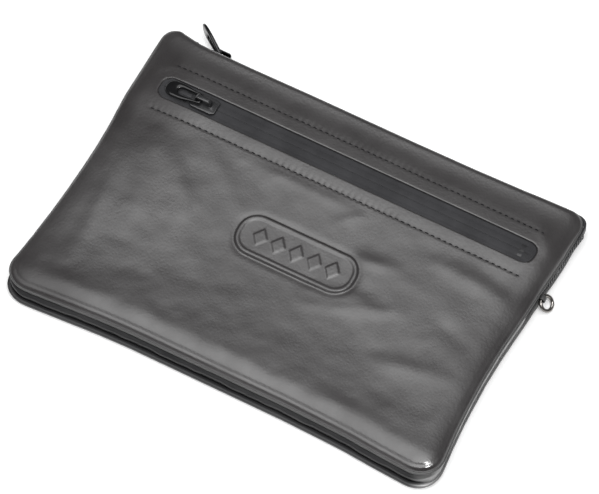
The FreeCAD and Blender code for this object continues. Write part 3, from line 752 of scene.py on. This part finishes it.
def window_stitch_places():
    places = []
    draw = np.random.default_rng(11)
    half, aside = 0.8, 1.5  # how far off the slopes along and across a stitch are taken
    for row in ROWS:
        for i in range(STITCHES):
            x = STITCH_LEFT + STITCH_PITCH * i
            y = row + draw.uniform(-0.06, 0.06)
            z0, z1 = height_at(x - half, y), height_at(x + half, y)
            slope = (z1 - z0) / (2 * half)
            cross_slope = (height_at(x, y + aside) - height_at(x, y - aside)) / (2 * aside)
            along = np.array([1, draw.uniform(-0.05, 0.05), slope])
            up = np.array([-slope, -cross_slope, 1.0])
            centre = (x, y, (z0 + z1) / 2 + 0.05)
            places.append((centre, along / np.linalg.norm(along), up / np.linalg.norm(up)))
    return places


def edge_stitch_places():
    low, high = mm_box("top_edge_stitching")
    return [
        (splay((STITCH_LEFT + STITCH_PITCH * i, FAR - 0.02, z)), (1, 0, 0), (0, 1, 0))
        for z in (high[2] - 0.25, low[2] + 0.25) for i in range(STITCHES)
    ]


def tube(points, radius, around):
    """A round wire along points, as vertices and faces."""
    points = np.array(points, float)
    tangent = np.gradient(points, axis=0)
    tangent /= np.linalg.norm(tangent, axis=1, keepdims=True)
    side = np.cross(tangent, np.array([0.31, 0.17, 0.93]))
    side /= np.linalg.norm(side, axis=1, keepdims=True)
    other = np.cross(tangent, side)
    angles = 2 * math.pi * np.arange(around) / around
    ring = points[:, None, :] + radius * (
        side[:, None, :] * np.cos(angles)[None, :, None] + other[:, None, :] * np.sin(angles)[None, :, None]
    )
    return ring.reshape(-1, 3), tube_faces(len(points), around)


def make_coil(name, node, place_of, start, end, sign, low, high, phase, material):
    """A flattened nylon spiral, its heads towards the middle of the zipper."""
    wire, pitch, heads, backs = 0.32, 1.5, -0.25, 2.75
    low, high = low + wire, high - wire
    turn = np.arange(int((end - start) / pitch) * 10 + 1) / 10.0
    a = 2 * math.pi * turn + phase
    across = (heads + backs) / 2 + (backs - heads) / 2 * np.cos(a)
    height = (low + high) / 2 + (high - low) / 2 * np.sin(a)
    points = np.column_stack(place_of(start + pitch * turn, sign * across, height))
    outward(new_piece(name, [node], *tube(points, wire, 6), material, "zip_coil"))


def make_coils(material):
    for side, sign, phase in (("front", 1, 0.0), ("back", -1, math.pi)):
        node = f"top_zip_coil_{side}"
        low, high = mm_box(node)
        make_coil(
            f"mouth_coil_{side}", node, lambda run, across, height: (run, height, MOUTH_MIDDLE + across),
            low[0], high[0], sign, low[1], high[1], phase, material,
        )
    for side, sign, phase in (("upper", 1, 0.0), ("lower", -1, math.pi)):
        node = f"front_zip_coil_{side}"
        low, high = mm_box(node)
        make_coil(
            f"pocket_coil_{side}", node, lambda run, across, height: (run, WINDOW_Y + across, height),
            low[0], high[0], sign, low[2], high[2] - 0.05, phase, material,
        )


# ---- small hardware


def softened(name, node, body, material, bevel, segments=2):
    """A copy of a CAD piece with its sharp edges rounded, in place of the node."""
    mesh = frame["nodes"][node].data.copy()
    work = bmesh.new()
    work.from_mesh(mesh)
    bmesh.ops.remove_doubles(work, verts=work.verts, dist=1e-6)
    bmesh.ops.dissolve_limit(work, angle_limit=math.radians(2), verts=work.verts, edges=work.edges)
    sharp = [e for e in work.edges if len(e.link_faces) == 2 and e.calc_face_angle() > math.radians(30)]
    bmesh.ops.bevel(
        work, geom=sharp, offset=bevel * MM, offset_type="OFFSET", segments=segments, profile=0.5,
        affect="EDGES", clamp_overlap=True,
    )
    bmesh.ops.recalc_face_normals(work, faces=work.faces)
    work.normal_update()
    for edge in work.edges:
        if len(edge.link_faces) == 2:
            edge.smooth = edge.calc_face_angle() < math.radians(40)
    work.to_mesh(mesh)
    work.free()
    mesh.materials.clear()
    mesh.materials.append(material)
    mesh.polygons.foreach_set("use_smooth", [True] * len(mesh.polygons))
    add_piece(name, [node], mesh, body)


def soften_path(points, rounds=3):
    """Cuts the corners of an open line, its ends kept."""
    points = np.array(points, float)
    for _ in range(rounds):
        near, far = points[:-1] * 0.75 + points[1:] * 0.25, points[:-1] * 0.25 + points[1:] * 0.75
        middle = np.empty((2 * len(near), points.shape[1]))
        middle[0::2], middle[1::2] = near, far
        points = np.vstack([points[:1], middle, points[-1:]])
    return points


def tail_path(start, wall, end):
    """The tape's outer face, out of the mouth, over the corner and down the right wall."""
    over = [
        (start - 2.0, FAR - 1.0), (start + 1.0, FAR - 0.2), (start + 4.0, FAR + 1.6),
        (start + 8.0, FAR + 2.6), (wall - 2.0, FAR + 2.4), (wall + 0.9, FAR + 0.6),
        (wall + 1.7, FAR - 2.8), (wall + 1.3, FAR - 8.0), (wall + 0.5, FAR - 14.0),
    ]
    side = [(wall + 0.1, FAR - 21.0), (wall, FAR - 26.0), (wall, (FAR + end) / 2 - 8.0), (wall, end)]
    path = soften_path(over + side)
    path[:, 0] += smooth((path[:, 0] - 96) / 6) * (np.interp(path[:, 1], *RIGHT_BOW.T) - 0.7)
    path[:, 1] += 1.7 * mouth_share(path[:, 1])
    along = np.gradient(path, axis=0)
    along /= np.linalg.norm(along, axis=1, keepdims=True)
    return path, np.column_stack([-along[:, 1], along[:, 0]])


def make_tail(tape_material, coil_material):
    tape_low, tape_high = mm_box("zip_tail_tape")
    path, out = tail_path(tape_low[0], tape_high[0], tape_low[1])
    bottom, top = tape_low[2], tape_high[2]
    section = [
        (0.0, bottom + 0.3), (0.0, top - 0.3), (0.2, top), (1.0, top), (1.2, top - 0.3),
        (1.2, bottom + 0.3), (1.0, bottom), (0.2, bottom),
    ]
    sections = np.repeat(np.array(section)[None], len(path), axis=0)
    points, faces = loft(path, out, sections)
    outward(new_piece("tail_tape_folded", ["zip_tail_tape"], points, faces, tape_material, "zip_tape"))
    # The coil on the tape's outer face, from the corner down.
    run, pitch, wire = run_along(path), 1.6, 0.34
    start, end = run[(path[:, 0] > 100) & (path[:, 1] < FAR - 3.5)][0], run[-1] - 1.0
    turn = np.arange(int((end - start) / pitch) * 12 + 1) / 12.0
    where = start + pitch * turn
    spot = np.column_stack([np.interp(where, run, path[:, i]) for i in (0, 1)])
    away = np.column_stack([np.interp(where, run, out[:, i]) for i in (0, 1)])
    lift = 0.42 + 0.42 * np.sin(2 * math.pi * turn)
    level = (bottom + top) / 2 + 1.75 * np.cos(2 * math.pi * turn)
    line = np.column_stack([spot + away * lift[:, None], level])
    outward(new_piece("tail_coil", ["zip_tail_teeth"], *tube(line, wire, 7), coil_material, "zip_coil"))


def make_ring(material):
    low, high = mm_box("side_ring")
    middle = (low + high) / 2
    wire = 0.85
    radius = (high[1] - low[1]) / 2 - wire
    lean = math.asin(min(1.0, ((high[2] - low[2]) / 2 - wire) / radius))
    points = []
    rings, around = 64, 14
    for a in 2 * math.pi * np.arange(rings) / rings:
        for b in 2 * math.pi * np.arange(around) / around:
            r = radius + wire * math.cos(b)
            u, v, w = r * math.cos(a), r * math.sin(a), wire * math.sin(b)
            x = u * math.cos(lean) + w * math.sin(lean)
            z = -u * math.sin(lean) + w * math.cos(lean)
            points.append(middle + np.array([x, v, z]))
    faces = hoop_faces(rings, around)
    outward(new_piece("ring_wire", ["side_ring"], points, faces, material, "ring_metal", "ring"))


def outline_radius(shape, centre, angles):
    """Distance from a centre to a closed outline along each angle, with softened corners."""
    shape = np.array(shape, float)
    result = []
    for a in angles:
        best = 0.0
        for p, q in zip(shape, np.roll(shape, -1, axis=0)):
            edge = q - p
            grid = np.array([[math.cos(a), -edge[0]], [math.sin(a), -edge[1]]])
            if abs(np.linalg.det(grid)) > 1e-9:
                reach, part = np.linalg.solve(grid, p - centre)
                if reach > 0 and -1e-9 <= part <= 1 + 1e-9:
                    best = max(best, reach)
        result.append(best)
    result = np.array(result)
    for _ in range(3):
        result = (np.roll(result, 1) + 2 * result + np.roll(result, -1)) / 4
    return result


def both_sides(half):
    """A closed outline from the half on one side of its long axis."""
    return half + [(run, -side) for run, side in reversed(half)]


def make_pull(name, node, body, material, along, across, up):
    """A cast loop with a domed section, hung on its slider's bridge."""
    pivot = next(np.array(joint["pos_m"]) / MM for joint in frame["joints"] if joint["child"] == body)
    along, across, up = (np.array(v, float) for v in (along, across, up))
    outline = both_sides([(-0.8, 2.5), (1.8, 2.7), (8.8, 4.0), (14.6, 4.0), (16.6, 3.0), (17.6, 1.5)])
    hole = both_sides([(0.85, 1.75), (10.6, 1.8), (11.4, 1.0)])
    centre = np.array([6.2, 0.0])
    rings, around = 96, 16
    angles = 2 * math.pi * np.arange(rings) / rings
    points = []
    for a, outer, inner in zip(
        angles, outline_radius(outline, centre, angles), outline_radius(hole, centre, angles)
    ):
        for b in 2 * math.pi * np.arange(around) / around:
            r = (outer + inner) / 2 + (outer - inner) / 2 * np.sign(math.cos(b)) * abs(math.cos(b)) ** 0.75
            h = 0.8 * np.sign(math.sin(b)) * abs(math.sin(b)) ** 0.75
            run, side = centre + r * np.array([math.cos(a), math.sin(a)])
            points.append(pivot + along * run + across * side + up * h)
    outward(new_piece(name, [node], points, hoop_faces(rings, around), material, "pull_metal", body))


def make_pulls(material):
    droop, lift = math.radians(4.0), math.radians(36.0)
    make_pull(
        "pocket_pull_cast", "front_slider_pull", "pocket_pull", material,
        (-math.cos(droop), 0, -math.sin(droop)), (0, 1, 0), (-math.sin(droop), 0, math.cos(droop)),
    )
    make_pull(
        "main_pull_cast", "top_slider_pull", "main_pull", material,
        (-math.cos(lift), math.sin(lift), 0), (0, 0, 1), (math.sin(lift), math.cos(lift), 0),
    )


# ---- materials


BLOTCH_LEVEL = 15.0  # about the height of the front panel's slopes


class Nodes:
    """A small helper that builds one node material."""

    def __init__(self, name, color, roughness, metallic=0.0, specular=0.5):
        self.material = bpy.data.materials.new(name)
        self.material.use_nodes = True
        self.tree = self.material.node_tree
        self.shader = self.tree.nodes["Principled BSDF"]
        self.set({"Base Color": (*color, 1), "Roughness": roughness, "Metallic": metallic})
        self.set({"Specular IOR Level": specular})
        self.place = self.tree.nodes.new("ShaderNodeTexCoord").outputs["Object"]
        self.normal = None

    def set(self, values, node=None):
        """Gives inputs of the shader, or of another node, a value or a link."""
        inputs = (node or self.shader).inputs
        for key, value in values.items():
            if isinstance(value, bpy.types.NodeSocket):
                self.tree.links.new(value, inputs[key])
            else:
                inputs[key].default_value = value

    def add(self, kind, inputs, **values):
        node = self.tree.nodes.new(kind)
        for key, value in values.items():
            setattr(node, key, value)
        self.set(inputs, node)
        return node

    def noise(self, scale, detail=2.0, roughness=0.5, output="Fac"):
        inputs = {"Vector": self.place, "Scale": scale, "Detail": detail, "Roughness": roughness}
        return self.add("ShaderNodeTexNoise", inputs).outputs[output]

    def ramp(self, value, start, end, low, high, kind="LINEAR"):
        """Goes from low to high as a value goes from start to end."""
        inputs = {"Value": value, "From Min": start, "From Max": end, "To Min": low, "To Max": high}
        return self.add("ShaderNodeMapRange", inputs, interpolation_type=kind).outputs["Result"]

    def color(self, value, dark, light):
        ramp = self.add("ShaderNodeValToRGB", {"Fac": value})
        for element, position, shade in zip(ramp.color_ramp.elements, (0.3, 0.7), (dark, light)):
            element.position = position
            element.color = (*shade, 1)
        self.set({"Base Color": ramp.outputs["Color"]})

    def rough(self, value, low, high):
        self.set({"Roughness": self.ramp(value, 0.3, 0.7, low, high)})

    def bump(self, height, distance, strength=1.0):
        inputs = {"Height": height, "Distance": distance, "Strength": strength}
        if self.normal is not None:
            inputs["Normal"] = self.normal
        self.normal = self.add("ShaderNodeBump", inputs).outputs["Normal"]
        self.set({"Normal": self.normal})

    def math(self, operation, *values):
        return self.add("ShaderNodeMath", dict(enumerate(values)), operation=operation).outputs[0]

    def split(self):
        """The X, Y and Z of a place on the object."""
        return self.add("ShaderNodeSeparateXYZ", {"Vector": self.place}).outputs

    def blotch(self, socket, x, y, near, far, factor):
        """Scales a shader value round a point of the front panel: it makes a rubbed spot smoother, and
        weakens the reflection to paint shade.
        """
        centre = (x * MM, y * MM, BLOTCH_LEVEL * MM)
        away = self.add("ShaderNodeVectorMath", {0: self.place, 1: centre}, operation="DISTANCE")
        part = self.ramp(away.outputs["Value"], near * MM, far * MM, factor, 1.0, "SMOOTHSTEP")
        target = self.shader.inputs[socket]
        value = target.links[0].from_socket if target.links else target.default_value
        self.set({socket: self.math("MULTIPLY", value, part)})


def leather_nodes(name, dark, light, rough):
    """Fine pebbled grain over slow changes of colour and gloss."""
    m = Nodes(name, light, sum(rough) / 2, specular=1.0)
    sway = {0: m.noise(300.0, output="Color"), 1: (0.0006,) * 3, 2: m.place}
    swayed = m.add("ShaderNodeVectorMath", sway, operation="MULTIPLY_ADD").outputs[0]
    grain = m.add("ShaderNodeTexVoronoi", {"Vector": swayed, "Scale": 950.0}, feature="SMOOTH_F1")
    m.color(m.noise(38.0, 4.0, 0.6), dark, light)
    m.rough(m.noise(70.0, 3.0, 0.55), *rough)
    m.bump(m.noise(140.0, 3.0, 0.55), 0.00035, 0.14)
    m.bump(grain.outputs["Distance"], 0.00012, 0.4)
    m.bump(m.noise(2600.0), 0.00004, 0.4)
    return m


def panel_material():
    """The panels' leather, with one corner rubbed smooth and, beside the slopes, patches of weakened
    reflection that are painted shade.
    """
    m = leather_nodes("leather_black", (0.0175, 0.0155, 0.016), (0.0295, 0.027, 0.0275), (0.36, 0.47))
    m.blotch("Roughness", HALF - 2.0, NEAR + 2.0, 3.0, 9.0, 0.45)
    # Painted shade: (x, y, reach of the darkest part, reach of the whole patch, share of the reflection
    # kept)
    painted_shade_patches = [
        (-96, 34, 8, 36, 0.54), (-97, 57, 4, 17, 0.6), (-92, -67, 9, 36, 0.55), (98, 25, 3, 14, 0.7),
        (94, -8, 4, 24, 0.8), (98, 56, 3, 13, 0.75),
    ]
    for patch in painted_shade_patches:
        m.blotch("Specular IOR Level", *patch)
    return m.material


def wall_material_painted_light():
    """The gusset's leather: dark, with weakened reflection as painted shade, along the foot and up the left
    wall; down the right wall a paler colour, full reflection and a coat, as painted light.
    """
    m = leather_nodes("leather_wall_painted_light", (0.016, 0.016, 0.017), (0.028, 0.028, 0.029), (0.36, 0.47))
    x = m.split()["X"]

    def toward_right(at_left, at_right):
        return m.ramp(x, 0.096, 0.1035, at_left, at_right, "SMOOTHSTEP")

    colors = {
        "Factor": toward_right(0.0, 1.0), "A": m.shader.inputs["Base Color"].links[0].from_socket,
        "B": (0.075, 0.074, 0.074, 1),
    }
    # Painted light on the right wall: a paler base colour, full reflection and a coat; elsewhere the
    # reflection is weakened, as painted shade.
    m.set({
        "Base Color": m.add("ShaderNodeMix", colors, data_type="RGBA").outputs["Result"],
        "Specular IOR Level": toward_right(0.35, 1.0),
        "Coat Weight": toward_right(0.0, 1.0), "Coat Roughness": 0.3, "Coat IOR": 1.8,
    })
    return m.material


def cloth_material(name, dark, light, pitch, rough=0.8):
    """A plain weave: two sets of threads at right angles, in the sheet's own plane or upright."""
    m = Nodes(name, light, rough, specular=0.3)
    place = m.split()
    turns = 2 * math.pi / pitch
    warp = m.math("SINE", m.math("MULTIPLY", place["X"], turns))
    weft = m.math("SINE", m.math("MULTIPLY", m.math("ADD", place["Y"], place["Z"]), turns))
    weave = m.math("MULTIPLY_ADD", m.math("MULTIPLY", warp, weft), 0.5, 0.5)
    m.color(m.noise(90.0, 3.0), dark, light)
    m.bump(weave, pitch * 0.25, 0.6)
    m.bump(m.noise(3500.0), 0.00004, 0.5)
    m.set({"Sheen Weight": 0.15})
    return m.material


def thread_material():
    m = Nodes("thread_twisted", (0.012, 0.012, 0.013), 0.75, specular=0.2)
    place = m.split()
    slant = m.math("ADD", place["X"], m.math("MULTIPLY", m.math("ADD", place["Y"], place["Z"]), 0.8))
    twist = m.math("SINE", m.math("MULTIPLY", slant, 2 * math.pi / 0.00045))
    m.color(m.noise(200.0), (0.008, 0.008, 0.009), (0.018, 0.018, 0.019))
    m.bump(twist, 0.00008, 0.6)
    return m.material


def metal_material(name, color, rough, metallic, coat=0.0, specular=0.5):
    m = Nodes(name, color, sum(rough) / 2, metallic, specular)
    m.color(m.noise(260.0, 3.0), color, tuple(c * 1.5 for c in color))
    m.rough(m.noise(420.0, 4.0, 0.6), *rough)
    m.bump(m.noise(900.0), 0.00002, 0.3)
    m.set({"Coat Weight": coat, "Coat Roughness": 0.08})
    return m.material


def plastic_material(name, dark, light, rough):
    m = Nodes(name, light, sum(rough) / 2)
    m.color(m.noise(300.0), dark, light)
    m.rough(m.noise(500.0), *rough)
    m.bump(m.noise(1500.0), 0.00003, 0.4)
    return m.material


def floor_material():
    m = Nodes("plain_floor", (0.9, 0.9, 0.9), 0.85, specular=0.2)
    m.set({"Emission Color": (1, 1, 1, 1), "Emission Strength": 0.22})
    m.color(m.noise(3.0), (0.89, 0.89, 0.89), (0.91, 0.91, 0.91))
    return m.material


# ---- the object

leather = panel_material()
wall_leather_painted_light = wall_material_painted_light()
seam_leather = leather_nodes(
    "leather_edge", (0.024, 0.024, 0.024), (0.042, 0.041, 0.041), (0.52, 0.66)
).material
lining = cloth_material("lining_weave", (0.022, 0.022, 0.025), (0.04, 0.04, 0.045), 0.0007)
tape = cloth_material("tape_weave", (0.016, 0.016, 0.018), (0.03, 0.03, 0.033), 0.0008, 0.62)
thread = thread_material()
nylon = plastic_material("zip_coil_nylon", (0.014, 0.014, 0.015), (0.028, 0.028, 0.03), (0.36, 0.5))
# The tail's coil is paler and glossier than the other coils: painted light where it runs down the lit right
# wall.
painted_light_nylon = plastic_material("zip_tail_nylon_painted_light", (0.05, 0.05, 0.052), (0.09, 0.09, 0.092), (0.22, 0.34))
stop_metal = metal_material("stop_black", (0.02, 0.02, 0.021), (0.3, 0.42), 0.2)
slider_metal = metal_material("slider_black", (0.014, 0.014, 0.015), (0.24, 0.36), 0.1, 0.4)
pull_metal = metal_material("pull_black", (0.004, 0.004, 0.0045), (0.10, 0.18), 0.0, 0.15, 0.3)
ring_metal = metal_material("ring_dark_nickel", (0.20, 0.19, 0.18), (0.18, 0.28), 1.0)

make_front_panel(leather)
make_back_panel(leather)
make_gusset(wall_leather_painted_light)
make_ridge("back_seam_bead", "back_seam_ridge", HEM, wall_leather_painted_light, 3)
make_ridge("front_seam_bead", "front_seam_ridge", SEAM - RIDGE, seam_leather, 4)
make_linings(lining)
make_pocket_tapes(tape)
make_mouth_tapes(tape)
make_stitches("window_thread", "window_stitching", window_stitch_places(), thread)
make_stitches("mouth_thread", "top_edge_stitching", edge_stitch_places(), thread)
make_coils(nylon)
for kind, slider in (("top", "main_slider"), ("front", "pocket_slider")):
    softened(f"{kind}_slider_cast", f"{kind}_slider_body", slider, slider_metal, 0.3, 3)
    for stop in ("top_stops", "bottom_stop"):
        softened(f"{kind}_zip_{stop}_cast", f"{kind}_zip_{stop}", "pouch", stop_metal, 0.15)
make_pulls(pull_metal)
make_tail(tape, painted_light_nylon)
softened("tail_tab_leather", "tail_end_tab", "pouch", seam_leather, 0.25, 3)
make_ring(ring_metal)

# ---- stage, lights and camera


def add_object(name, data):
    thing = bpy.data.objects.new(name, data)
    bpy.context.scene.collection.objects.link(thing)
    return thing


def make_floor(half, level):
    mesh = bpy.data.meshes.new("floor")
    corners = [(-half, -half, level), (half, -half, level), (half, half, level), (-half, half, level)]
    mesh.from_pydata(corners, [], [(0, 1, 2, 3)])
    mesh.materials.append(floor_material())
    add_object("floor", mesh)


def aim(thing, direction, distance, target=(0, 0, 0)):
    """Stands a light or camera off a target and turns it towards it."""
    direction = Vector(direction).normalized()
    thing.location = Vector(target) + direction * distance
    thing.rotation_euler = direction.to_track_quat("Z", "Y").to_euler()


def area_light(name, direction, distance, size, power):
    light = bpy.data.lights.new(name, "AREA")
    light.shape = "DISK"
    light.size = size
    light.energy = power
    aim(add_object(name, light), direction, distance)


def make_camera(azimuth, elevation, distance, view_width, target):
    """A long lens that takes in a width, in millimetres, at its target."""
    data = bpy.data.cameras.new("camera")
    data.sensor_width = 36.0
    data.lens = data.sensor_width * distance / (view_width * MM)
    data.clip_end = 20
    a, e = math.radians(azimuth), math.radians(elevation)
    direction = (math.sin(a) * math.cos(e), -math.cos(a) * math.cos(e), math.sin(e))
    camera = add_object("camera", data)
    aim(camera, direction, distance, Vector(target) * MM)
    bpy.context.scene.camera = camera


make_floor(3.0, -0.0002)
area_light("softbox", (-0.06, -0.15, 0.98), distance=1.1, size=1.45, power=16.4)
area_light("small_lamp", (0.50, -0.30, 0.81), distance=1.3, size=0.12, power=5.0)
world = bpy.data.worlds.new("studio")
bpy.context.scene.world = world
world.use_nodes = True
world.node_tree.nodes["Background"].inputs["Color"].default_value = (1, 1, 1, 1)
world.node_tree.nodes["Background"].inputs["Strength"].default_value = 0.16
make_camera(azimuth=28.2, elevation=60.0, distance=3.0, view_width=265.0442, target=(0.2, 5.7, 8.0))
bpy.context.scene.view_settings.view_transform = "Standard"
